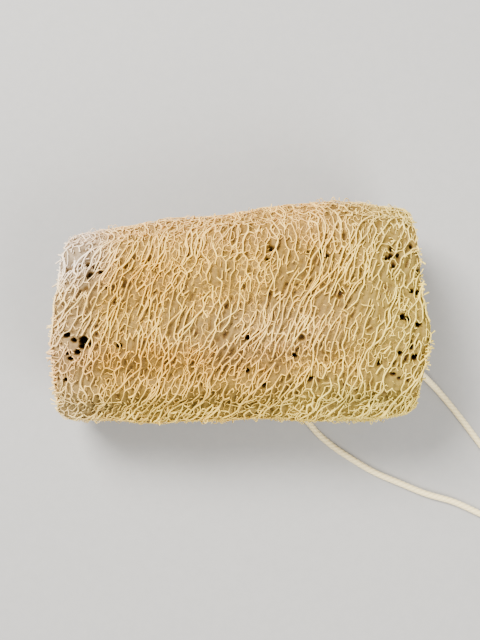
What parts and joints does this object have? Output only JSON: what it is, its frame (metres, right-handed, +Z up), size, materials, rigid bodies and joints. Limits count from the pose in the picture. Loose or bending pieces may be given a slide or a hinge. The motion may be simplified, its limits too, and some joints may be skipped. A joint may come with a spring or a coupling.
{
  "type": "natural loofah sponge",
  "caption": "Dried loofah fruit skeleton cut to a bath sponge, with seed chambers right through it and a cotton cord threaded through as a hanging loop.",
  "frame": {"origin": "on the surface that the sponge lies on, under the middle of the sponge's own box, the cord left out", "axes": "+X along the sponge, towards the end that the cord goes into; +Y across it, away from the cord's loop; +Z up from the surface"},
  "size_m": [0.2056, 0.1431, 0.0675],
  "materials": {
    "loofah_fibre": "dry matt plant fibre, straw to golden tan",
    "cotton_cord": "undyed cream cotton, twisted, matt"
  },
  "bodies": {
    "root": {"sponge": "loofah_fibre", "cord_loop": "cotton_cord", "cord_held": "cotton_cord", "cord_knot": "cotton_cord"}
  },
  "joints": []
}
